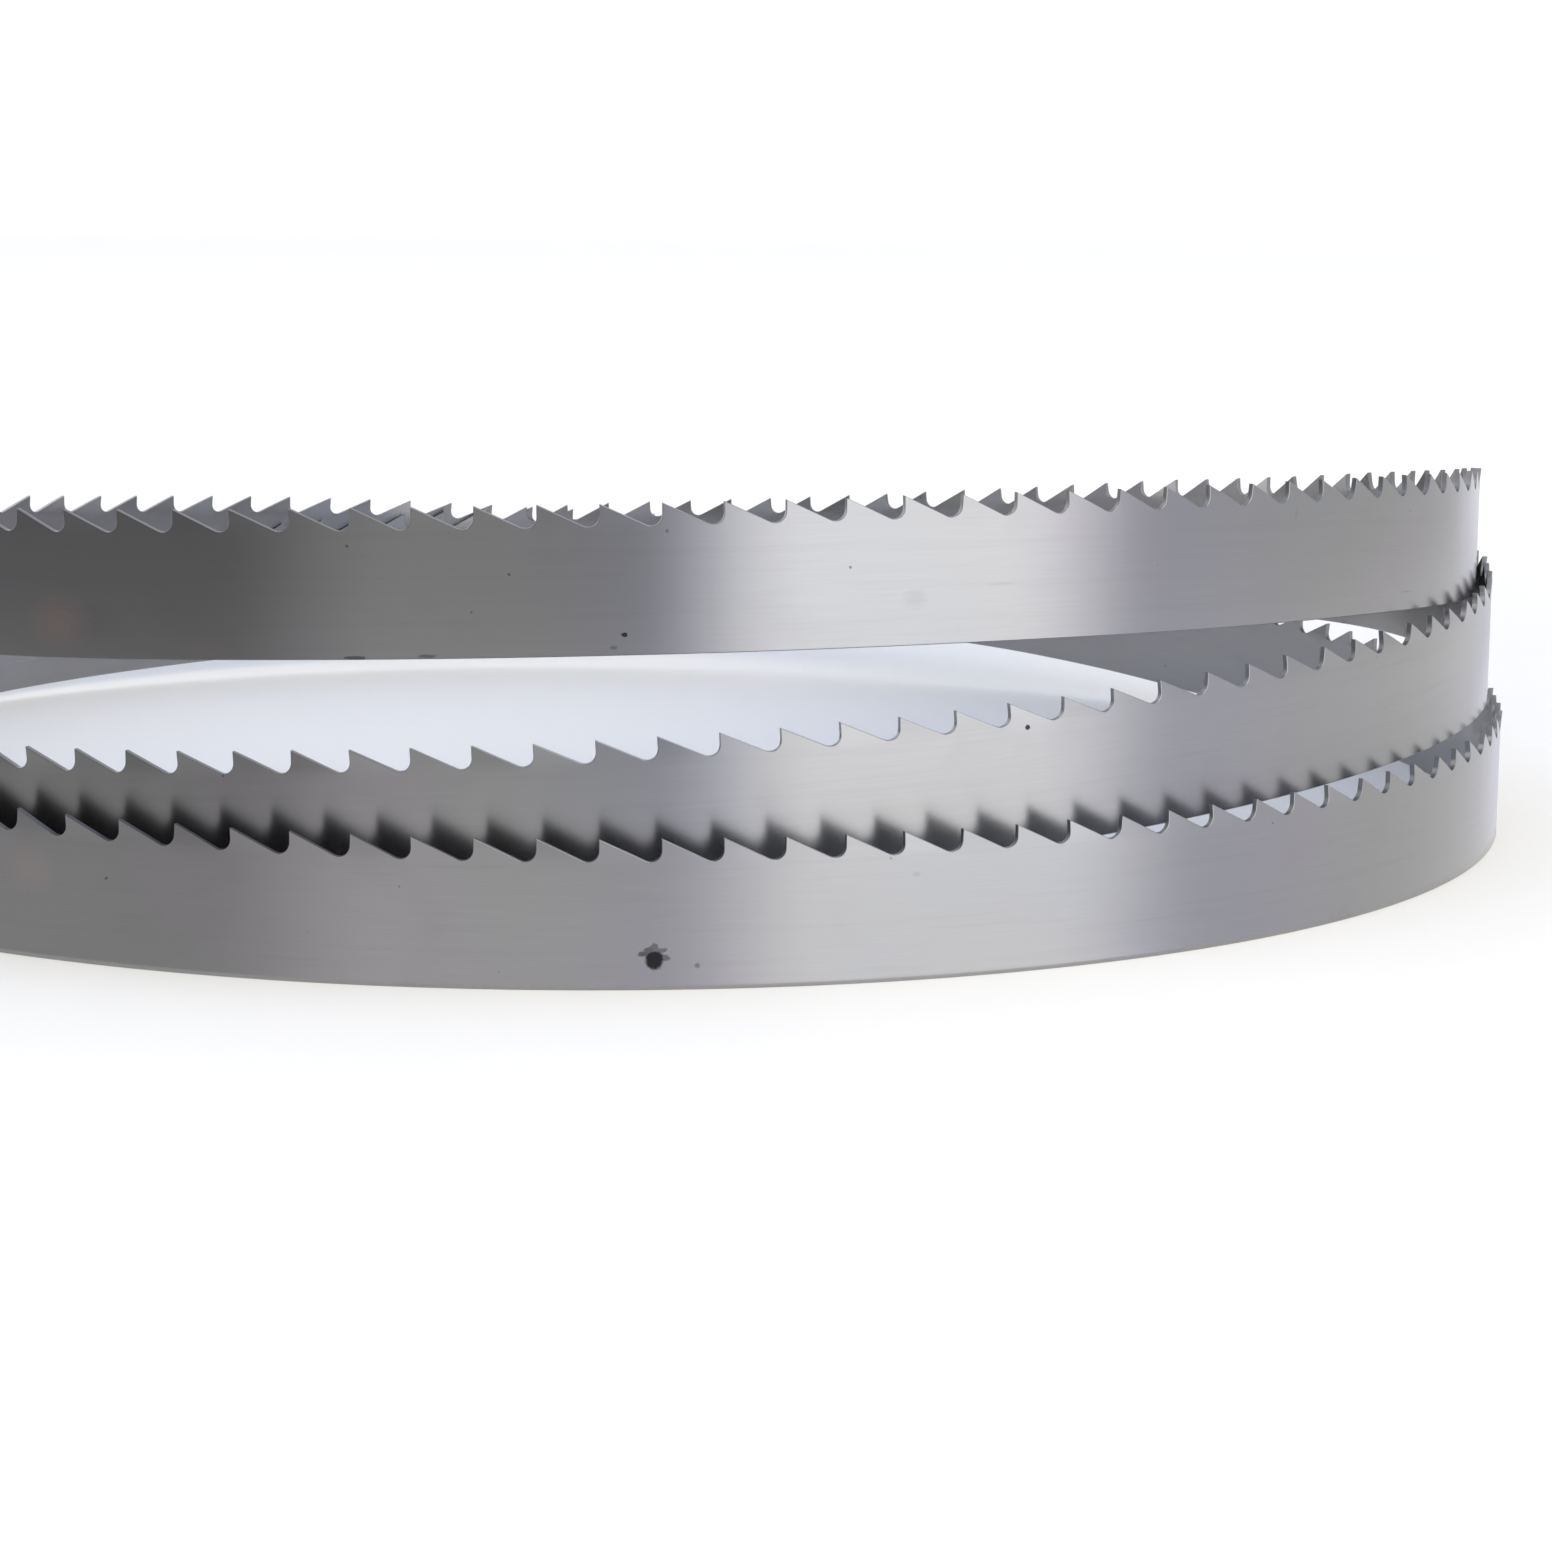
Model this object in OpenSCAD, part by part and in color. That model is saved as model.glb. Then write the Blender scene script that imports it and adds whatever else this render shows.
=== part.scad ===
// Endless toothed band of a band saw, folded into three turns that stand on edge with the teeth up.
// Units are millimetres. The coil's axis is Z, the floor is Z = 0, the front of the coil faces -Y.

/* [Node] */
// Part to build

/* [Band] */
// Width of the band from the back edge to the tooth tips
band_width = 15.6; // [13:0.1:18]
// Thickness of the band
band_thickness = 0.65; // [0.5:0.05:0.8]

/* [Teeth] */
// Number of teeth on the whole band
tooth_count = 335; // [300:1:360]
// Depth of a gullet as a share of the tooth spacing
gullet_depth_share = 0.375; // [0.3:0.005:0.42]
// Radius of the gullet floor as a share of the tooth spacing
gullet_radius_share = 0.18; // [0.14:0.005:0.2]
// Sideways set of a tooth tip
tooth_set = 0.22; // [0.1:0.02:0.3]
// Points that round the gullet floor
gullet_points = 5; // [4:1:6]

/* [Coil] */
// Radius of the outermost turn to the middle of the band
coil_radius = 115; // [105:1:130]
// Distance between neighbouring turns where they lie side by side
turn_spacing = 1.5; // [1.3:0.1:1.8]
// Height of the coil against its measured height
lift_share = 1; // [1:0.01:1.06]

/* [Hidden] */

// Path of the band: angle from the front, inset in turn spacings, height of the back edge in band widths
path_stations = [
    // first turn: outermost, flat on the floor, then inward under the third turn
    [-12, 0, 0],
    [30, 0, 0],
    [86, 0, 0],
    [116, 1.17, 0.07],
    [128, 1.17, 0.185],
    [138, 1.17, 0.3],
    [148, 1.17, 0.4],
    [160, 1.13, 0.47],
    [180, 1.09, 0.58],
    [205, 1.11, 0.76],
    [222, 1.17, 0.88],
    [250, 1.17, 1.15],
    [276, 1.8, 1.48],
    [305, 4.1, 1.82],
    // second turn: the highest at the front, then down along the inside
    [330, 4.2, 1.975],
    [347, 5.2, 2.065],
    [364, 5.75, 2.125],
    [381, 5.8, 2.148],
    [397, 5.3, 2.125],
    [413, 4.4, 2.065],
    [430, 3, 1.945],
    [445, 2.2, 1.8],
    [456, 2.02, 1.65],
    [464, 1.84, 1.54],
    [481, 1.84, 1.29],
    [491, 1.84, 1.16],
    [506, 1.84, 0.95],
    [520, 1.9, 0.79],
    [540, 1.94, 0.65],
    [565, 1.88, 0.5],
    [590, 1.84, 0.37],
    [620, 1.95, 0.26],
    [655, 2.6, 0.26],
    // third turn: between the other two at the front, then outward over the first
    [690, 3.93, 0.366],
    [707, 3.92, 0.485],
    [724, 3.74, 0.611],
    [741, 3.4, 0.737],
    [757, 2.9, 0.867],
    [773, 2.28, 0.966],
    [784, 1.75, 1.01],
    [795, 1.25, 1.045],
    [806, 1, 1.08],
    [832, 0, 1.07],
    [850, 0.16, 0.95],
    [875, 0.16, 0.63],
    [900, 0.16, 0.36],
    [925, 0.16, 0.21],
    [944, 0.16, 0.11],
    [959, 0.16, 0.03],
    [972, 0.16, 0],
    [1005, 0, 0]
];
turn_count = 3;
path_span = 360 * turn_count;
path_rows = len(path_stations);

// Stations repeat after the last turn, so the band closes on itself
function row(i) =
    let (j = (i % path_rows + path_rows) % path_rows, wraps = floor(i / path_rows))
    [path_stations[j][0] + wraps * path_span, path_stations[j][1], path_stations[j][2]];
function rise(i, c) = (row(i + 1)[c] - row(i)[c]) / (row(i + 1)[0] - row(i)[0]);
function gap(i) = row(i + 1)[0] - row(i)[0];
// Slope at a station: level at a crest, a foot or beside a flat stretch
function slope_at(i, c) =
    rise(i - 1, c) * rise(i, c) <= 0 ? 0
    : (rise(i - 1, c) * gap(i) + rise(i, c) * gap(i - 1)) / (gap(i - 1) + gap(i));
station_slopes = [for (i = [0 : path_rows - 1]) [slope_at(i, 1), slope_at(i, 2)]];
function wrap_angle(a) = a - path_span * floor((a - path_stations[0][0]) / path_span);
function last_row(a, i) = i + 1 < path_rows && path_stations[i + 1][0] <= a ? last_row(a, i + 1) : i;
// Smooth curve through the stations
function blend(p0, p1, m0, m1, h, t) =
    p0 * (2 * t * t * t - 3 * t * t + 1) + m0 * h * (t * t * t - 2 * t * t + t)
    + p1 * (3 * t * t - 2 * t * t * t) + m1 * h * (t * t * t - t * t);
function path_at(angle) =
    let (
        a = wrap_angle(angle),
        i = last_row(a, 0),
        p = row(i),
        q = row(i + 1),
        m = station_slopes[i],
        n = station_slopes[(i + 1) % path_rows],
        h = q[0] - p[0],
        t = (a - p[0]) / h
    )
    [blend(p[1], q[1], m[0], n[0], h, t), blend(p[2], q[2], m[1], n[1], h, t)];
// Point on the back edge, in the middle of the band's thickness
function edge_point(angle) =
    let (v = path_at(angle), r = coil_radius - turn_spacing * v[0])
    [r * sin(angle), -r * cos(angle), band_width * lift_share * v[1]];

// Length along the band against angle
angle_step = 2;
table_rows = path_span / angle_step;
step_lengths = [
    for (i = [0 : table_rows - 1])
    norm(edge_point((i + 1) * angle_step) - edge_point(i * angle_step))
];
function add_lengths(i, total, out) =
    i == table_rows ? concat(out, [[total, i * angle_step]])
    : add_lengths(i + 1, total + step_lengths[i], concat(out, [[total, i * angle_step]]));
length_table = add_lengths(0, 0, []);
band_length = length_table[table_rows][0];
tooth_pitch = band_length / tooth_count;
function angle_at(s) =
    let (wraps = floor(s / band_length))
    lookup(s - wraps * band_length, length_table) + wraps * path_span;

// Tooth shape in the plane of the band: u along the band from one tip to the next, v up from the tips
gullet_depth = gullet_depth_share * tooth_pitch;
gullet_radius = gullet_radius_share * tooth_pitch;
gullet_u = tooth_pitch - gullet_radius;
gullet_v = gullet_radius - gullet_depth;
// Slope of the flank: the line from the tip that touches the gullet's circle
flank_angle = asin(gullet_radius / norm([gullet_u, gullet_v])) - atan2(gullet_v, gullet_u);
arc_start = -90 - flank_angle;
tooth_outline = concat(
    [[0, 0]],
    [
        for (i = [0 : gullet_points - 1])
        let (a = arc_start * (1 - i / (gullet_points - 1)))
        [gullet_u + gullet_radius * cos(a), gullet_v + gullet_radius * sin(a)]
    ],
    [[0, -band_width]]
);
outline_rows = len(tooth_outline);
// Where the row of teeth starts along the band, as a share of the tooth spacing
first_tooth_share = 0.18;
// Teeth lean outward, not at all and inward in turn; the order slips where the band is joined
join_teeth = [60, 172];
function slips(k) = len([for (j = join_teeth) if (k >= j) j]);
function set_of(k) =
    let (n = k % tooth_count)
    [tooth_set, 0, -tooth_set][(n + 2 * slips(n)) % 3];
function lean(k, p) =
    let (owner = p[0] < gullet_u ? k : k + 1)
    set_of(owner) * max(0, 1 + p[1] / gullet_depth);

// One point of the band's surface: side is 1 on the outside of the coil, -1 on the inside
function band_point(k, p, side) =
    let (
        a = angle_at((k + first_tooth_share) * tooth_pitch + p[0]),
        ahead = edge_point(a + 0.5),
        behind = edge_point(a - 0.5),
        along = (ahead - behind) / norm(ahead - behind),
        flat_along = [along[0], along[1], 0] / norm([along[0], along[1]]),
        outward = [flat_along[1], -flat_along[0], 0],
        up = cross(outward, along),
        up_sign = up[2] < 0 ? -1 : 1
    )
    edge_point(a) + up * up_sign * (band_width + p[1]) + outward * (side * band_thickness / 2 + lean(k, p));

module blade() {
    rows = outline_rows;
    ring = 2 * rows;
    total = tooth_count * ring;
    points = [
        for (k = [0 : tooth_count - 1])
        for (side = [1, -1])
        for (p = tooth_outline)
        band_point(k, p, side)
    ];
    // Index of outline point j of tooth k on one side, and of the same point one tooth back or on
    outer = function(k, j) (k * ring + j + total) % total;
    inner = function(k, j) (k * ring + rows + j + total) % total;
    tip = 0;
    foot = rows - 2;
    back = rows - 1;
    walk = [for (j = [1 : foot]) j];
    outer_sides = [
        for (k = [0 : tooth_count - 1])
        for (j = [tip : foot - 1])
        [outer(k + 1, back), outer(k, j + 1), outer(k, j)]
    ];
    outer_ends = [
        for (k = [0 : tooth_count - 1])
        each [
            [outer(k + 1, back), outer(k, tip), outer(k - 1, foot)],
            [outer(k + 1, back), outer(k - 1, foot), outer(k, back)]
        ]
    ];
    inner_sides = [
        for (k = [0 : tooth_count - 1])
        for (j = [tip : foot - 1])
        [inner(k + 1, back), inner(k, j), inner(k, j + 1)]
    ];
    inner_ends = [
        for (k = [0 : tooth_count - 1])
        each [
            [inner(k + 1, back), inner(k - 1, foot), inner(k, tip)],
            [inner(k + 1, back), inner(k, back), inner(k - 1, foot)]
        ]
    ];
    gullets = [
        for (k = [0 : tooth_count - 1])
        for (j = [tip : foot - 1])
        each [
            [outer(k, j), outer(k, j + 1), inner(k, j + 1)],
            [outer(k, j), inner(k, j + 1), inner(k, j)]
        ]
    ];
    faces_of_teeth = [
        for (k = [0 : tooth_count - 1])
        each [
            [outer(k, foot), outer(k + 1, tip), inner(k + 1, tip)],
            [outer(k, foot), inner(k + 1, tip), inner(k, foot)]
        ]
    ];
    backs = [
        for (k = [0 : tooth_count - 1])
        each [
            [outer(k, back), inner(k, back), inner(k + 1, back)],
            [outer(k, back), inner(k + 1, back), outer(k + 1, back)]
        ]
    ];
    color([0.62, 0.63, 0.64])
    polyhedron(
        points = points,
        faces = concat(outer_sides, outer_ends, inner_sides, inner_ends, gullets, faces_of_teeth, backs),
        convexity = 10
    );
}

blade();
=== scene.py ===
import math

import bpy
import numpy as np
from mathutils import Matrix, Vector


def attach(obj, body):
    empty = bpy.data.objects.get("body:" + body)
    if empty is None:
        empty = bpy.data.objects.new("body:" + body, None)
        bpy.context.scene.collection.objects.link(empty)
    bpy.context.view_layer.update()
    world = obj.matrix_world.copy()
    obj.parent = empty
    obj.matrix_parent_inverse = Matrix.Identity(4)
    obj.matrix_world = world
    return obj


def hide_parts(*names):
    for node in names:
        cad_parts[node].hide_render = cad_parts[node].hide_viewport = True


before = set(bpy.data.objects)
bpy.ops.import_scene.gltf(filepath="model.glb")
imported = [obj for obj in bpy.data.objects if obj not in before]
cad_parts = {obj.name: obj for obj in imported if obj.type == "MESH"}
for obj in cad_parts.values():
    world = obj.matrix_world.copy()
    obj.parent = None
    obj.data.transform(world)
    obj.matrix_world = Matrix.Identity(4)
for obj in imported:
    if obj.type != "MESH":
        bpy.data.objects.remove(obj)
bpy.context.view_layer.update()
mm = 0.001


# helpers for meshes and for material nodes

def addMesh(name, points, quads, uvs=None):
    # points is n x 3 in metres, quads is m x 4 indices, uvs is m x 4 x 2: one pair for each face corner
    mesh = bpy.data.meshes.new(name)
    mesh.from_pydata(points, [], quads)
    mesh.update()
    if uvs is not None:
        layer = mesh.uv_layers.new(name="bandMap")
        layer.data.foreach_set("uv", uvs.reshape(-1).astype(np.float32))
    piece = bpy.data.objects.new(name, mesh)
    bpy.context.scene.collection.objects.link(piece)
    return piece


class Wire:
    # wraps a node's output, so that Python's own operators add Math nodes
    def __init__(self, tree, socket):
        self.tree, self.socket = tree, socket

    def math(self, operation, *others):
        return self.tree.node("ShaderNodeMath", {"operation": operation}, [self, *others])

    def __add__(self, other): return self.math("ADD", other)
    def __radd__(self, other): return self.math("ADD", other)
    def __sub__(self, other): return self.math("SUBTRACT", other)
    def __rsub__(self, other): return self.tree.node("ShaderNodeMath", {"operation": "SUBTRACT"}, [other, self])
    def __mul__(self, other): return self.math("MULTIPLY", other)
    def __rmul__(self, other): return self.math("MULTIPLY", other)
    def __truediv__(self, other): return self.math("DIVIDE", other)
    def __rtruediv__(self, other): return self.tree.node("ShaderNodeMath", {"operation": "DIVIDE"}, [other, self])
    def __pow__(self, other): return self.math("POWER", other)


class Finish:
    # a material and the one way in which nodes are added to it

    def __init__(self, name):
        self.material = bpy.data.materials.new(name)
        self.material.use_nodes = True
        self.nodes = self.material.node_tree.nodes
        self.links = self.material.node_tree.links
        self.shader = self.nodes["Principled BSDF"]

    def feed(self, socket, value):
        if isinstance(value, Wire):
            self.links.new(value.socket, socket)
        else:
            socket.default_value = value

    def node(self, kind, settings, values=(), out=0):
        made = self.nodes.new(kind)
        for key, value in settings.items():
            if key == "stops":
                ramp = made.color_ramp
                while len(ramp.elements) < len(value):
                    ramp.elements.new(0.5)
                for element, (place, colour) in zip(ramp.elements, value):
                    element.position, element.color = place, colour
            else:
                setattr(made, key, value)
        pairs = values.items() if isinstance(values, dict) else enumerate(values)
        for key, value in pairs:
            self.feed(made.inputs[key], value)
        return Wire(self, made.outputs[out])

    def between(self, value, low, high, first=0.0, last=1.0):
        # first below low, last above high, smooth between them
        return self.node("ShaderNodeMapRange", {"interpolation_type": "SMOOTHSTEP"},
                         {"Value": value, "From Min": low, "From Max": high, "To Min": first, "To Max": last})

    def mixColour(self, share, first, second):
        return self.node("ShaderNodeMix", {"data_type": "RGBA"}, {0: share, 6: first, 7: second}, out=2)

    def noise(self, vector, scale, detail=2.0, rough=0.5):
        return self.node("ShaderNodeTexNoise", {"noise_dimensions": "3D"},
                         {"Vector": vector, "Scale": scale, "Detail": detail, "Roughness": rough})


# the band's path: the same stations as the solid model's

band = {
    "width": 15.6,              # back edge to tooth tips, mm
    "thickness": 0.65,
    "coilRadius": 115.0,
    "turnSpacing": 1.5,
    "teeth": 335,
    "firstTooth": 0.18,         # place of the first tip, in tooth spacings
    "gulletDepth": 0.375,       # in tooth spacings
    "gulletRadius": 0.18,
    "toothSet": 0.22,
    "joinTeeth": (60, 172),     # the order of the set slips here
    "edgeBreak": 0.045,         # small chamfer on every edge, mm
    "backBreak": 0.09,
    "chordSink": 0.024,         # keeps the round band inside the flat facets of the solid
    "seed": 11,
}

# angle from the front in degrees, inset in turn spacings, height of the back edge in band widths
pathStations = np.array([
    (-12, 0, 0), (30, 0, 0), (86, 0, 0), (116, 1.17, 0.07), (128, 1.17, 0.185), (138, 1.17, 0.3),
    (148, 1.17, 0.4), (160, 1.13, 0.47), (180, 1.09, 0.58), (205, 1.11, 0.76), (222, 1.17, 0.88), (250, 1.17, 1.15),
    (276, 1.8, 1.48), (305, 4.1, 1.82), (330, 4.2, 1.975), (347, 5.2, 2.065), (364, 5.75, 2.125), (381, 5.8, 2.148),
    (397, 5.3, 2.125), (413, 4.4, 2.065), (430, 3, 1.945), (445, 2.2, 1.8), (456, 2.02, 1.65), (464, 1.84, 1.54),
    (481, 1.84, 1.29), (491, 1.84, 1.16), (506, 1.84, 0.95), (520, 1.9, 0.79), (540, 1.94, 0.65), (565, 1.88, 0.5),
    (590, 1.84, 0.37), (620, 1.95, 0.26), (655, 2.6, 0.26), (690, 3.93, 0.366), (707, 3.92, 0.485), (724, 3.74, 0.611),
    (741, 3.4, 0.737), (757, 2.9, 0.867), (773, 2.28, 0.966), (784, 1.75, 1.01), (795, 1.25, 1.045), (806, 1, 1.08),
    (832, 0, 1.07), (850, 0.16, 0.95), (875, 0.16, 0.63), (900, 0.16, 0.36), (925, 0.16, 0.21), (944, 0.16, 0.11),
    (959, 0.16, 0.03), (972, 0.16, 0), (1005, 0, 0)])
pathSpan = 1080.0


def stationSlopes(column):
    # a slope at each station: 0 at a crest, a foot or beside a level stretch,
    # otherwise the two neighbouring rises averaged with each other's gap as weight
    angles = np.concatenate([pathStations[:, 0], [pathStations[0, 0] + pathSpan]])
    values = np.concatenate([pathStations[:, column], [pathStations[0, column]]])
    gaps = np.diff(angles)
    rises = np.diff(values) / gaps
    before, gapBefore = np.roll(rises, 1), np.roll(gaps, 1)
    return np.where(before * rises <= 0, 0.0, (before * gaps + rises * gapBefore) / (gaps + gapBefore))


def pathValue(angles, column):
    # cubic Hermite curve through the stations
    start = pathStations[0, 0]
    wrapped = (angles - start) % pathSpan + start
    places = np.concatenate([pathStations[:, 0], [start + pathSpan]])
    values = np.concatenate([pathStations[:, column], [pathStations[0, column]]])
    slopes = stationSlopes(column)
    slopes = np.concatenate([slopes, slopes[:1]])
    i = np.clip(np.searchsorted(places, wrapped, side="right") - 1, 0, len(pathStations) - 1)
    span = places[i + 1] - places[i]
    t = (wrapped - places[i]) / span
    return (values[i] * (2 * t ** 3 - 3 * t ** 2 + 1) + slopes[i] * span * (t ** 3 - 2 * t ** 2 + t)
            + values[i + 1] * (3 * t ** 2 - 2 * t ** 3) + slopes[i + 1] * span * (t ** 3 - t ** 2))


def edgePoint(angles):
    # back edge: a circle of the coil's radius less the inset, raised by the height
    radius = band["coilRadius"] - band["turnSpacing"] * pathValue(angles, 1)
    a = np.radians(angles)
    return np.stack([radius * np.sin(a), -radius * np.cos(a), band["width"] * pathValue(angles, 2)], axis=-1)


tableAngles = np.arange(0.0, pathSpan + 1.0, 2.0)
tableSteps = np.linalg.norm(np.diff(edgePoint(tableAngles), axis=0), axis=1)
tableLengths = np.concatenate([[0.0], np.cumsum(tableSteps)])
bandLength = tableLengths[-1]
pitch = bandLength / band["teeth"]


def angleAt(lengths):
    # angle on the path at a length along the band
    wraps = np.floor(lengths / bandLength)
    return np.interp(lengths - wraps * bandLength, tableLengths, tableAngles) + wraps * pathSpan


def lengthAt(angle):
    return float(np.interp(angle % pathSpan, tableAngles, tableLengths))


def bandFrame(lengths):
    # origin on the back edge, unit vector out of the coil, unit vector up along the band's width
    angles = angleAt(lengths)
    along = edgePoint(angles + 0.5) - edgePoint(angles - 0.5)
    along /= np.linalg.norm(along, axis=-1, keepdims=True)
    outward = np.stack([along[..., 1], -along[..., 0], np.zeros(along.shape[:-1])], axis=-1)
    outward /= np.linalg.norm(outward, axis=-1, keepdims=True)
    up = np.cross(outward, along)
    up *= np.where(up[..., 2:] < 0, -1.0, 1.0)
    return edgePoint(angles), outward, up


# the toothed band, carried along the path

def toothOutline(flankSteps=4, arcSteps=8, faceSteps=2):
    # from one tip to the next: a straight flank, a round gullet that it touches, an upright face
    depth, radius = band["gulletDepth"] * pitch, band["gulletRadius"] * pitch
    centre = np.array([pitch - radius, radius - depth])
    flank = math.asin(radius / np.hypot(*centre)) - math.atan2(centre[1], centre[0])
    arcStart = -math.pi / 2 - flank
    turns = np.linspace(arcStart, 0.0, arcSteps + 1)
    arc = centre + radius * np.stack([np.cos(turns), np.sin(turns)], axis=-1)
    flankShares = np.linspace(0.0, 1.0, flankSteps + 1)[:-1, None]
    flankLine = arc[0] * flankShares
    faceShares = np.linspace(0.0, 1.0, faceSteps + 1)[1:-1, None]
    faceLine = arc[-1] + (np.array([pitch, 0.0]) - arc[-1]) * faceShares
    return np.concatenate([flankLine, arc, faceLine])


def makeBand():
    width, half = band["width"], band["thickness"] / 2
    depth = band["gulletDepth"] * pitch
    outline = toothOutline()
    columns = len(outline)
    nextTip = np.array([[pitch, 0.0]])
    closed = np.concatenate([outline, nextTip])
    steps = np.linalg.norm(np.diff(closed, axis=0), axis=1)
    walked = np.concatenate([[0.0], np.cumsum(steps)])[:-1] / steps.sum()

    # inward corner directions: the two neighbouring edge normals added, lengthened by the mitre
    edges = np.diff(closed, axis=0) / steps[:, None]
    normals = np.stack([edges[:, 1], -edges[:, 0]], axis=-1)
    before = np.roll(normals, 1, axis=0)
    corner = normals + before
    corner /= np.linalg.norm(corner, axis=1, keepdims=True)
    mitre = 1.0 / np.maximum((corner * normals).sum(axis=1), 0.5)

    toothNumber = np.arange(band["teeth"])
    slips = sum((toothNumber >= j).astype(int) for j in band["joinTeeth"])
    sets = np.array([1.0, 0.0, -1.0])[(toothNumber + 2 * slips) % 3] * band["toothSet"]
    rng = np.random.default_rng(band["seed"])
    sets = sets * rng.uniform(0.84, 0.97, band["teeth"]) + rng.normal(0.0, 0.006, band["teeth"])
    sets = np.clip(sets, -0.215, 0.215)
    tipLoss = rng.uniform(0.0, 0.05, band["teeth"])

    # rows of one column: up the outside, over the top, down the inside, along the back
    footV = -depth - 1.0
    footU = 0.2 * pitch + pitch * walked
    owner = (outline[:, 0] >= pitch * (1 - band["gulletRadius"]) - 1e-9).astype(int)
    edge, back = band["edgeBreak"], band["backBreak"]
    inset = outline + corner * (mitre * edge)[:, None]
    foot = np.stack([footU, np.full(columns, footV)], axis=-1)
    lower = lambda v: np.stack([footU, np.full(columns, v)], axis=-1)
    climb = [foot + (inset - foot) * share for share in (0.3, 0.62)]
    rows = [
        (lower(-width + back), half), (lower(-width + 4.0), half), (lower(-width + 8.5), half), (foot, half),
        (climb[0], half), (climb[1], half), (inset, half), (outline, half - edge),
        (outline, edge - half), (inset, -half), (climb[1], -half), (climb[0], -half),
        (foot, -half), (lower(-width + 8.5), -half), (lower(-width + 4.0), -half), (lower(-width + back), -half),
        (lower(-width), back - half), (lower(-width), half - back),
    ]
    shape = np.stack([r[0] for r in rows], axis=1)                    # columns x rows x (u, v)
    side = np.array([r[1] for r in rows])

    k = toothNumber[:, None, None]
    u = np.broadcast_to(shape[None, :, :, 0], (band["teeth"], columns, len(rows)))
    v = np.broadcast_to(shape[None, :, :, 1], u.shape)
    owned = (k + owner[None, :, None]) % band["teeth"]
    rise = np.clip(1 + v / depth, 0.0, 1.0)
    v = v - tipLoss[owned] * rise ** 3
    lean = sets[owned] * rise ** 1.15
    lengths = (k + band["firstTooth"]) * pitch + u
    origin, outward, up = bandFrame(lengths)
    origin = origin - outward * band["chordSink"]
    points = origin + up * (width + v)[..., None] + outward * (side[None, None, :] + lean)[..., None]
    points = points.reshape(-1, 3) * mm

    # quads between neighbouring columns and rows, closed both ways
    total = band["teeth"] * columns
    c, r = np.meshgrid(np.arange(total), np.arange(len(rows)), indexing="ij")
    c2, r2 = (c + 1) % total, (r + 1) % len(rows)
    n = len(rows)
    quads = np.stack([c * n + r, c2 * n + r, c2 * n + r2, c * n + r2], axis=-1).reshape(-1, 4)

    # map: length along the band and height above the back edge, both in metres; its seam is at the back of the coil
    seam = lengthAt(565.0)
    along = (lengths.reshape(total, n) - seam) % bandLength
    height = (width + v).reshape(total, n)
    a0, a1 = along, along[(np.arange(total) + 1) % total]
    a1 = np.where(a1 < a0 - bandLength / 2, a1 + bandLength, a1)
    a0 = np.where(a0 < a1 - bandLength / 2, a0 + bandLength, a0)
    h0, h1 = height, height[(np.arange(total) + 1) % total]
    following = (np.arange(n) + 1) % n
    uvs = np.stack([
        np.stack([a0, h0], axis=-1), np.stack([a1, h1], axis=-1),
        np.stack([a1[:, following], h1[:, following]], axis=-1),
        np.stack([a0[:, following], h0[:, following]], axis=-1)], axis=2).reshape(-1, 4, 2) * mm
    piece = addMesh("bladeBand", points, quads.tolist(), uvs)
    # ground edges of the teeth: the quads between the two outline rows, and half of that on their chamfers
    cut = np.zeros(quads.shape[0]).reshape(total, n)
    cut[:, 7] = 1.0
    cut[:, (6, 8)] = 0.5
    level = piece.data.attributes.new("cutFace", "FLOAT", "FACE")
    level.data.foreach_set("value", cut.reshape(-1).astype(np.float32))
    piece.data.shade_smooth()
    piece.data.set_sharp_from_angle(angle=math.radians(28))
    return piece


bladeBand = makeBand()
print("band:", len(bladeBand.data.polygons), "quads, length", round(bandLength, 2), "mm")

# steel: polished lengthwise, with stains, pits and ground tooth edges

steel = {
    "colour": (0.328, 0.327, 0.331, 1.0),
    "plum": (0.334, 0.323, 0.335, 1.0),
    "cool": (0.322, 0.326, 0.341, 1.0),
    "stain": (0.240, 0.234, 0.233, 1.0),
    "brown": (0.455, 0.366, 0.350, 1.0),
    "pit": (0.040, 0.039, 0.041, 1.0),
    "cut": (0.270, 0.272, 0.280, 1.0),
    "roughness": 0.23,
    "cutRoughness": 0.34,
    "anisotropy": 0.68,
    "waveHeight": 2.2e-6,       # metres, of the slow waves along the band
    "lineHeight": 2.5e-7,       # of the grinding lines
}

# marks on the steel: path angle, height in band widths, half length and half height in mm, strength, raggedness
pits = (
    (3.39, 0.202, 0.95, 1.06, 1.0, 0.3),
    (2.92, 0.242, 0.75, 0.30, 0.68, 0.8),
    (3.09, 0.262, 0.60, 0.35, 0.62, 0.9),
    (3.36, 0.282, 0.42, 0.52, 0.52, 0.9),
    (3.79, 0.265, 0.50, 0.24, 0.52, 0.9),
    (3.93, 0.213, 0.52, 0.32, 0.55, 0.9),
    (5.56, 0.160, 0.30, 0.28, 0.42, 0.6),
    (362.0, 0.138, 0.34, 0.26, 0.95, 0.7),
    (361.4, 0.052, 0.42, 0.20, 0.45, 0.8),
    (355.8, 0.550, 0.16, 0.16, 0.60, 0.4),
    (347.0, 0.750, 0.18, 0.15, 0.50, 0.4),
    (745.0, 0.825, 0.30, 0.28, 0.95, 0.5),
    (347.2, 0.012, 1.30, 0.22, 0.60, 0.8),
    (351.2, 0.020, 0.90, 0.20, 0.50, 0.8),
)
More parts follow.
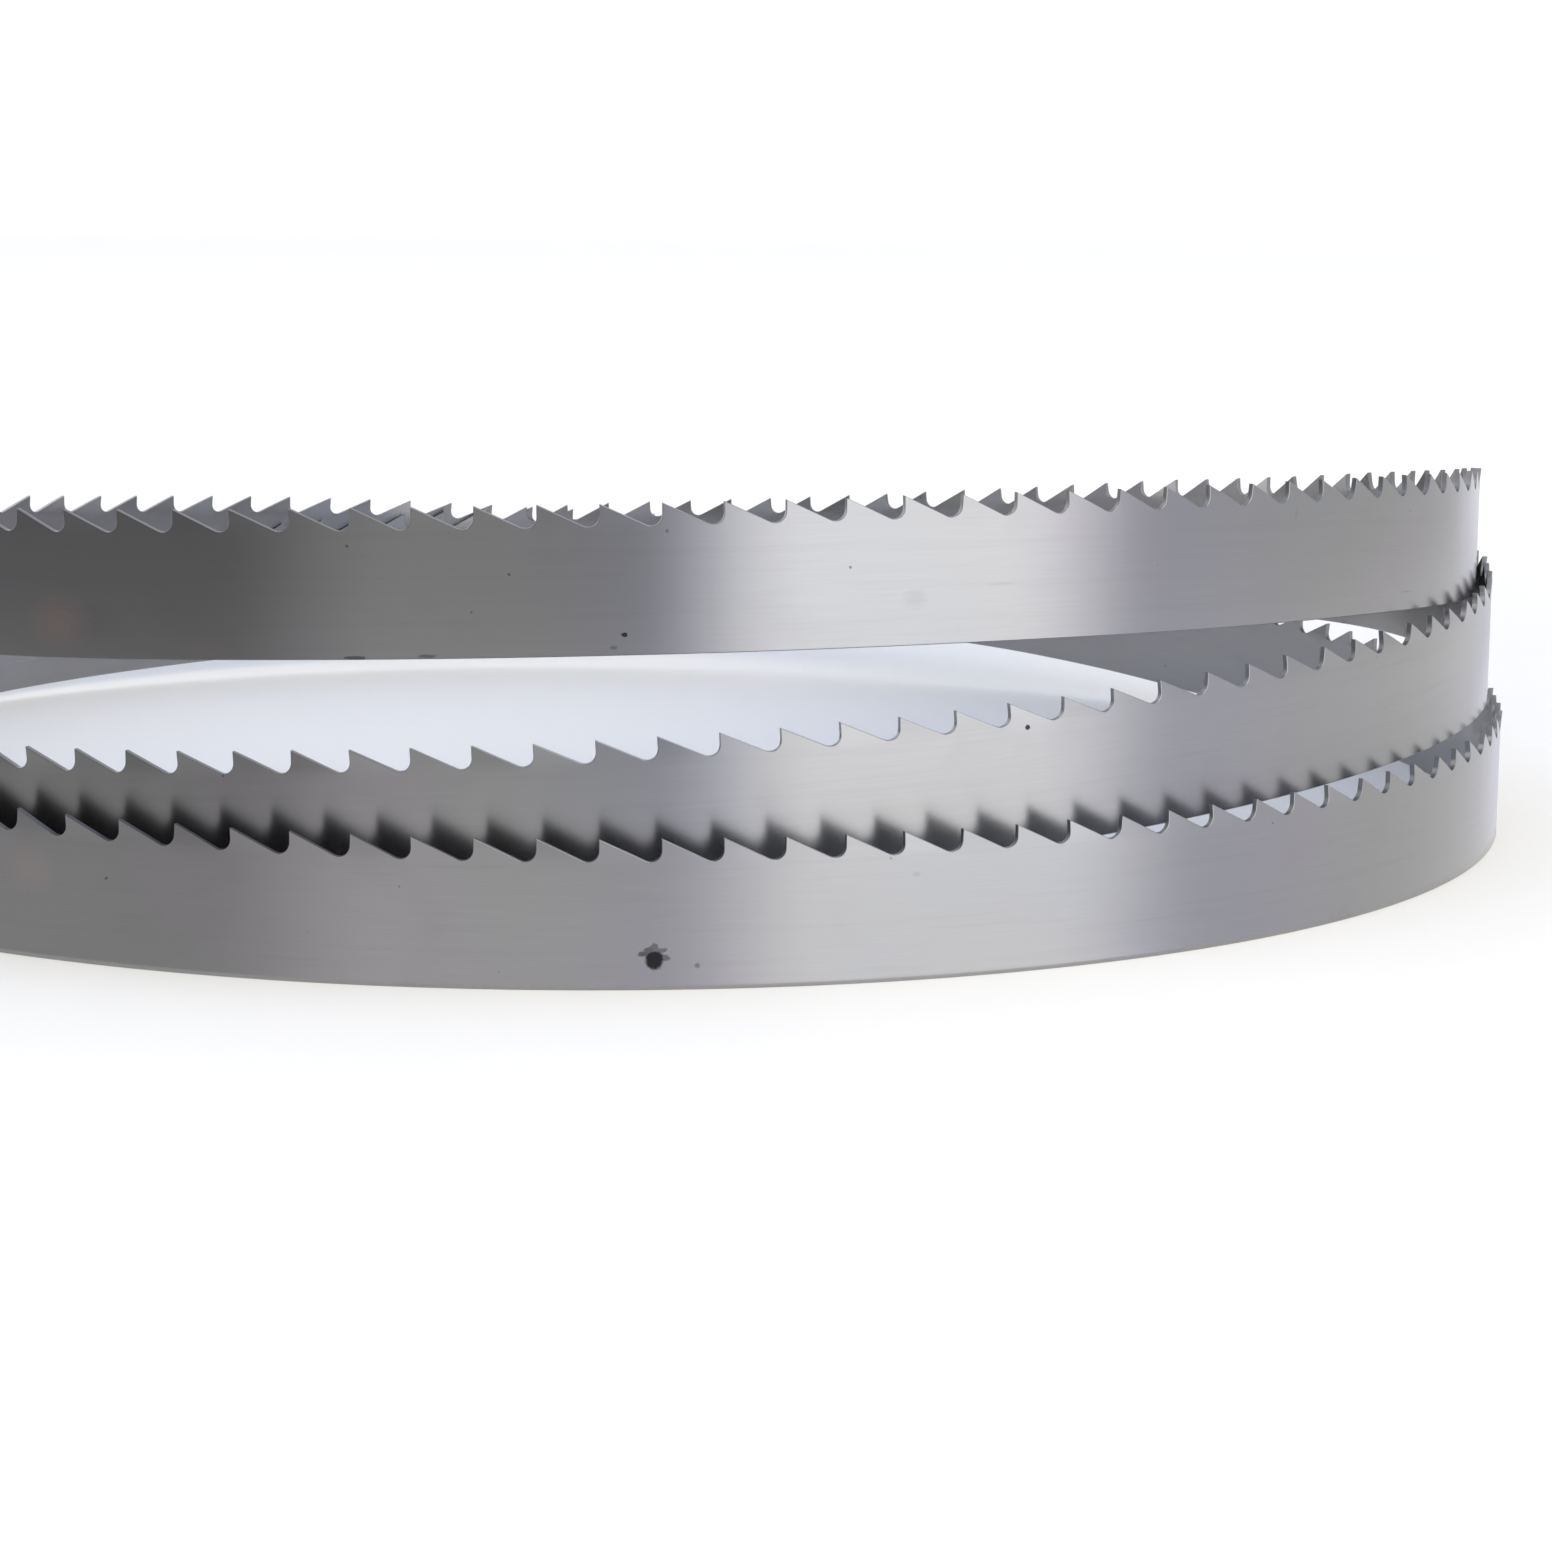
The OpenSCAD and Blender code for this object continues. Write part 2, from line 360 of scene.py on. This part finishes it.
smudges = (
    (17.0, 0.713, 0.55, 0.30, 0.45, 0.8),
    (419.2, 0.138, 1.90, 0.12, 0.55, 0.3),
    (405.8, 0.763, 0.30, 0.70, 0.40, 0.6),
    (383.8, 0.388, 1.90, 0.14, 0.35, 0.4),
    (378.5, 0.312, 1.50, 1.20, 0.25, 0.9),
    (331.0, 0.250, 5.50, 2.20, 0.35, 0.8),
)
rusty = (
    (329.6, 0.250, 4.60, 3.40, 0.58, 0.5),
    (1049.9, 0.600, 3.50, 3.00, 0.35, 0.6),
    (338.5, 0.060, 3.00, 1.10, 0.20, 0.9),
    (692.0, 0.300, 4.00, 1.60, 0.15, 0.9),
)


def makeSteel():
    f = Finish("bladeSteel")
    shader = f.shader
    mapped = f.node("ShaderNodeUVMap", {"uv_map": "bandMap"})
    placed = f.node("ShaderNodeTexCoord", {}, out=3)
    seam = lengthAt(565.0)

    def stretched(alongScale, upScale):
        # the band's map with its own scale along and across the band
        return f.node("ShaderNodeVectorMath", {"operation": "MULTIPLY"}, [mapped, (alongScale, upScale, 1.0)])

    grit = f.noise(stretched(2600.0, 2600.0), 1.0, 3.0, 0.6)

    def markMask(marks, softFrom=0.75):
        # each mark is an ellipse in the band's map: its length from the centre, made ragged by a noise
        total = None
        for angle, height, halfLong, halfHigh, strength, ragged in marks:
            centre = ((lengthAt(angle) - seam) % bandLength * mm, height * band["width"] * mm, 0.0)
            scale = (1.0 / (halfLong * mm), 1.0 / (halfHigh * mm), 0.0)
            start = (-centre[0] * scale[0], -centre[1] * scale[1], 0.0)
            away = f.node("ShaderNodeVectorMath", {"operation": "MULTIPLY_ADD"}, [mapped, scale, start])
            reach = f.node("ShaderNodeVectorMath", {"operation": "LENGTH"}, [away], out=1)
            reach = reach + grit.math("MULTIPLY_ADD", ragged * 2.0, -ragged)
            mask = f.between(reach, softFrom, 1.15, strength, 0.0)
            total = mask if total is None else total.math("MAXIMUM", mask)
        return total

    # slow change of tint over the sheet, long faint streaks, fine grinding lines
    broad = f.noise(placed, 22.0, 2.0, 0.5)
    patch = f.noise(placed, 75.0, 3.0, 0.6)
    streak = f.noise(stretched(28.0, 900.0), 1.0, 3.0, 0.6)
    lines = f.noise(stretched(110.0, 6500.0), 1.0, 2.0, 0.6)
    wave = f.noise(stretched(150.0, 9.0), 1.0, 2.0, 0.5)
    speckle = f.between(f.noise(stretched(900.0, 900.0), 1.0, 1.0, 0.4), 0.81, 0.84)

    tint = f.mixColour(f.between(broad, 0.35, 0.52), steel["plum"], steel["colour"])
    tint = f.mixColour(f.between(broad, 0.5, 0.68), tint, steel["cool"])
    shade = f.between(patch, 0.52, 0.78) * 0.16 + f.between(streak, 0.45, 0.85) * 0.14 + f.between(lines, 0.35, 0.8) * 0.10
    tint = f.mixColour(shade, tint, steel["stain"])
    smudge = markMask(smudges, 0.3)
    tint = f.mixColour(smudge, tint, steel["stain"])
    tint = f.mixColour(markMask(rusty, 0.1), tint, steel["brown"])
    pit = markMask(pits)
    dark = pit.math("MAXIMUM", speckle * 0.55)
    tint = f.mixColour(dark, tint, steel["pit"])
    cut = f.node("ShaderNodeAttribute", {"attribute_name": "cutFace"}, out=2)
    tint = f.mixColour(cut * 0.8, tint, steel["cut"])

    rough = (steel["roughness"] + (patch - 0.5) * 0.05 + (lines - 0.5) * 0.05 + smudge * 0.12 + dark * 0.4
             + cut * (steel["cutRoughness"] - steel["roughness"]))
    relief = wave * steel["waveHeight"] + lines * steel["lineHeight"]
    bump = f.node("ShaderNodeBump", {}, {"Strength": 1.0, "Distance": 1.0, "Height": relief})
    f.feed(shader.inputs["Metallic"], 1.0)
    f.feed(shader.inputs["Anisotropic"], steel["anisotropy"])
    f.feed(shader.inputs["Anisotropic Rotation"], 0.25)
    f.feed(shader.inputs["Base Color"], tint)
    f.feed(shader.inputs["Roughness"], rough)
    f.feed(shader.inputs["Normal"], bump)
    return f.material


bladeBand.data.materials.append(makeSteel())
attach(bladeBand, "root")
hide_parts("blade")
print("steel: done")

# floor, backdrop, soft panels and lamps

studio = {
    "radius": 2.2,
    "curve": 0.5,
    "height": 1.3,
    "colour": (0.86, 0.865, 0.88, 1.0),
    "airColour": (0.74, 0.815, 1.0, 1.0),
    "air": 0.84,
    "lampColour": (1.0, 0.91, 0.685),
}

panels = {
    # a ring of soft panels round the front, seen only in the steel: radius and height of its rows,
    # and the share by which a row's edges are turned, because a row near the steel shows the same edge sooner
    "rows": ((0.1158, 0.0003, 0.74), (0.134, 0.0003, 0.86), (0.150, 0.0003, 0.96), (0.157, 0.004, 1.0),
             (0.158, 0.015, 1.0), (0.158, 0.032, 1.0), (0.158, 0.26, 1.0)),
    "rowLevels": ("lowGlow", "lowGlow", "lowGlow", "lowGlow", "midGlow", "highGlow", "highGlow"),
    # levels from behind, round by the left, the front and the right to behind again, with the edges between them
    # in degrees; 0 is in front of the coil, 90 to its right
    "edges": (-150.0, -104.0, -64.0, -20.5, 10.5, 41.0, 101.0, 140.0, 166.0),
    "softness": (20.0, 18.0, 18.0, 13.0, 13.0, 14.0, 20.0, 18.0, 14.0),
    "lowGlow": (0.95, 1.45, 0.90, 0.58, 0.90, 1.72, 0.92, 0.96, 0.75, 0.95),
    "midGlow": (0.93, 1.54, 0.84, 0.41, 0.73, 1.98, 1.06, 0.84, 0.68, 0.93),
    "highGlow": (0.90, 1.70, 0.72, 0.24, 0.53, 2.14, 0.83, 1.02, 0.55, 0.90),
    "white": (1.0, 1.0, 1.0, 1.0),
    "chilled": (0.985, 0.99, 1.10, 1.0),
    "chills": ((6.0, 6.0, 0.7), (50.0, 11.0, 1.0), (115.0, 16.0, 0.8)),    # azimuth, half width, strength
}


def makeFloor():
    # a disc that turns up at its rim: radius and height follow a line, a quarter circle and a wall
    flat = np.linspace(0.0, studio["radius"] - studio["curve"], 12)
    turn = np.linspace(0.0, math.pi / 2, 12)[1:]
    profile = np.concatenate([
        np.stack([flat, np.zeros_like(flat)], axis=-1),
        np.stack([studio["radius"] - studio["curve"] * (1 - np.sin(turn)), studio["curve"] * (1 - np.cos(turn))], axis=-1),
        [[studio["radius"], studio["height"]]]])
    around = np.radians(np.arange(0, 360, 5.0))
    r, z = profile[1:, 0], profile[1:, 1]
    ring = np.stack([r[None] * np.cos(around)[:, None], r[None] * np.sin(around)[:, None],
                     np.broadcast_to(z, (len(around), len(r)))], axis=-1)
    points = np.concatenate([[[0.0, 0.0, 0.0]], ring.reshape(-1, 3)])
    n, m = len(r), len(around)
    i, j = np.meshgrid(np.arange(m), np.arange(n - 1), indexing="ij")
    i2 = (i + 1) % m
    quads = np.stack([1 + i * n + j, 1 + i * n + j + 1, 1 + i2 * n + j + 1, 1 + i2 * n + j], axis=-1).reshape(-1, 4)
    middle = [(0, 1 + a * n, 1 + ((a + 1) % m) * n) for a in range(m)]
    floor = addMesh("studioFloor", points, quads.tolist() + middle)
    floor.data.shade_smooth()
    f = Finish("floorPaint")
    f.feed(f.shader.inputs["Base Color"], studio["colour"])
    f.feed(f.shader.inputs["Roughness"], 0.9)
    f.feed(f.shader.inputs["Specular IOR Level"], 0.1)
    floor.data.materials.append(f.material)
    return floor


def panelGlow(around, levels):
    # steps from one panel's level to the next, with a smooth edge between them
    glow = np.full(around.shape, levels[0])
    for edge, soft, before, after in zip(panels["edges"], panels["softness"], levels, levels[1:]):
        t = np.clip((around - edge) / soft + 0.5, 0.0, 1.0)
        glow += (after - before) * t * t * (3 - 2 * t)
    return glow


def makePanels():
    # a strip on the floor that turns up into a wall, carried round the coil's axis
    around = np.arange(-180.0, 180.1, 2.0)
    a = np.radians(around)
    rows = np.array(panels["rows"])
    n, m = len(around), len(rows)
    radius, height, turned = rows[:, :1], rows[:, 1:2], rows[:, 2:]
    points = np.stack([radius * np.sin(a), -radius * np.cos(a), np.repeat(height, n, axis=1)], axis=-1)
    seen = around[None] / turned
    glow = np.stack([panelGlow(row, panels[level]) for row, level in zip(seen, panels["rowLevels"])])
    i, j = np.meshgrid(np.arange(m - 1), np.arange(n - 1), indexing="ij")
    quads = np.stack([i * n + j, (i + 1) * n + j, (i + 1) * n + j + 1, i * n + j + 1], axis=-1).reshape(-1, 4)
    ring = addMesh("studioPanels", points.reshape(-1, 3), quads.tolist())
    # bluish stretches: a bell curve, exp(-(distance / half width) squared), for each
    chill = sum(strength * np.exp(-((seen - place) / halfWidth) ** 2) for place, halfWidth, strength in panels["chills"])
    for label, values in (("glow", glow), ("chill", np.broadcast_to(chill, glow.shape))):
        level = ring.data.attributes.new(label, "FLOAT", "POINT")
        level.data.foreach_set("value", values.reshape(-1).astype(np.float32))
    f = Finish("panelGlow")
    read = f.node("ShaderNodeAttribute", {"attribute_name": "glow"}, out=2)
    f.feed(f.shader.inputs["Base Color"], (0.0, 0.0, 0.0, 1.0))
    f.feed(f.shader.inputs["Specular IOR Level"], 0.0)
    f.feed(f.shader.inputs["Emission Strength"], 1.0)
    tone = f.mixColour(f.node("ShaderNodeAttribute", {"attribute_name": "chill"}, out=2), panels["white"], panels["chilled"])
    f.feed(f.shader.inputs["Emission Color"], f.node("ShaderNodeVectorMath", {"operation": "SCALE"}, {0: tone, "Scale": read}))
    ring.data.materials.append(f.material)
    ring.visible_camera = False
    ring.visible_diffuse = False
    ring.visible_shadow = False
    return ring


lamps = {
    # azimuth and elevation in degrees, distance from the aim point, width and height in metres, watts, aim point
    "farLamp": (0, 17.5, 1.0, 2.3, 0.7, 9.0, (0, 1.374, 0.549)),
    "frontLamp": (28, 15, 1.9, 1.5, 0.6, 63.0, (0.06, 0, 0.02)),
}


def makeLamp(name, azimuth, elevation, distance, width, height, power, aim):
    # a rectangle lamp that faces the aim point; azimuth 0 is in front of the coil, 90 is to its right
    a, e = math.radians(azimuth), math.radians(elevation)
    away = Vector((math.sin(a) * math.cos(e), -math.cos(a) * math.cos(e), math.sin(e)))
    data = bpy.data.lights.new(name, "AREA")
    data.shape, data.size, data.size_y = "RECTANGLE", width, height
    data.energy, data.color = power, studio["lampColour"]
    lamp = bpy.data.objects.new(name, data)
    lamp.location = Vector(aim) + away * distance
    lamp.rotation_mode = "QUATERNION"
    lamp.rotation_quaternion = away.to_track_quat("Z", "Y")
    lamp.visible_camera = False
    lamp.visible_glossy = False
    bpy.context.scene.collection.objects.link(lamp)


makeFloor()
makePanels()
for lampName, lampValues in lamps.items():
    makeLamp(lampName, *lampValues)

world = bpy.data.worlds.new("studioAir")
world.use_nodes = True
world.node_tree.nodes["Background"].inputs["Color"].default_value = studio["airColour"]
world.node_tree.nodes["Background"].inputs["Strength"].default_value = studio["air"]
bpy.context.scene.world = world
bpy.context.scene.view_settings.view_transform = "Standard"
print("studio: done")

# camera, fitted to the photograph

view = {
    "place": (0.0, -0.52636, 0.092526),
    "turn": 0.0459751,          # radians, to the right
    "dip": 0.1694141,           # radians, below level
    "roll": 0.0113444,
    "lens": 96.192,
}


def makeCamera():
    t, d, roll = view["turn"], view["dip"], view["roll"]
    ahead = Vector((math.sin(t) * math.cos(d), math.cos(t) * math.cos(d), -math.sin(d)))
    level = Vector((math.cos(t), -math.sin(t), 0.0))
    over = level.cross(ahead)
    right = level * math.cos(roll) + over * math.sin(roll)
    up = over * math.cos(roll) - level * math.sin(roll)
    data = bpy.data.cameras.new("photoCamera")
    data.lens, data.sensor_width = view["lens"], 36.0
    data.clip_start, data.clip_end = 0.01, 50.0
    camera = bpy.data.objects.new("photoCamera", data)
    turned = Matrix((right, up, -ahead)).transposed().to_4x4()
    camera.matrix_world = Matrix.Translation(Vector(view["place"])) @ turned
    bpy.context.scene.collection.objects.link(camera)
    bpy.context.scene.camera = camera


makeCamera()
print("camera: done")
